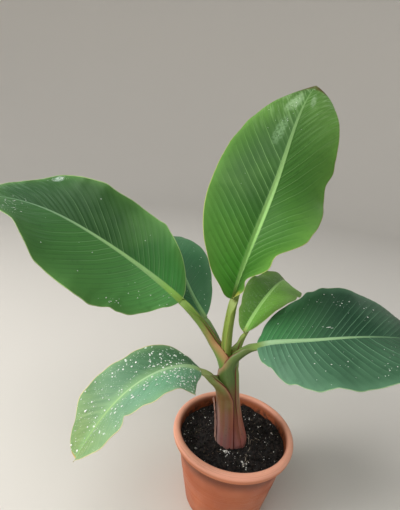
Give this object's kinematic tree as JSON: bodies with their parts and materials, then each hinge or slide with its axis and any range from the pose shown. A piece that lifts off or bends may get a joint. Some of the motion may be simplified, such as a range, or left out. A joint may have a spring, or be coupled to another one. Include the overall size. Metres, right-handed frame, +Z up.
{
  "type": "potted banana plant",
  "caption": "Young banana plant with broad paddle leaves on grooved stalks around a leaning trunk, in a round rolled-rim pot.",
  "frame": {"origin": "centre of the pot's flat underside, on the surface that it stands on", "axes": "+Z up; the picture's camera looks along +Y and slightly down, with +X to its right"},
  "size_m": [0.951, 0.5561, 0.9119],
  "materials": {
    "pot_plastic": "terracotta-coloured plastic with a soft sheen and fine level lines",
    "potting_mix": "dark moist mix with white grains and short fibres",
    "trunk": "smooth rolled leaf bases, purplish red at the foot and olive above",
    "petiole": "smooth yellow-green stalk with dark red edges",
    "leaf_bright": "satin yellow-green blade with fine slanting veins",
    "leaf_mid": "satin mid-green blade with fine slanting veins",
    "leaf_dark": "satin blue-green blade with a pale midrib",
    "leaf_grey": "greyish green blade with a yellow-green midrib and pale water drops"
  },
  "bodies": {
    "root": {"pot": "pot_plastic", "potting_soil": "potting_mix", "pseudostem": "trunk", "petiole_upright": "petiole", "petiole_left": "petiole", "petiole_right": "petiole", "petiole_low_front": "petiole", "petiole_back_left": "petiole", "petiole_back_right": "petiole", "leaf_upright": "leaf_bright", "leaf_left": "leaf_mid", "leaf_right": "leaf_dark", "leaf_low_front": "leaf_grey", "leaf_back_left": "leaf_dark", "leaf_back_right": "leaf_bright"}
  },
  "joints": []
}
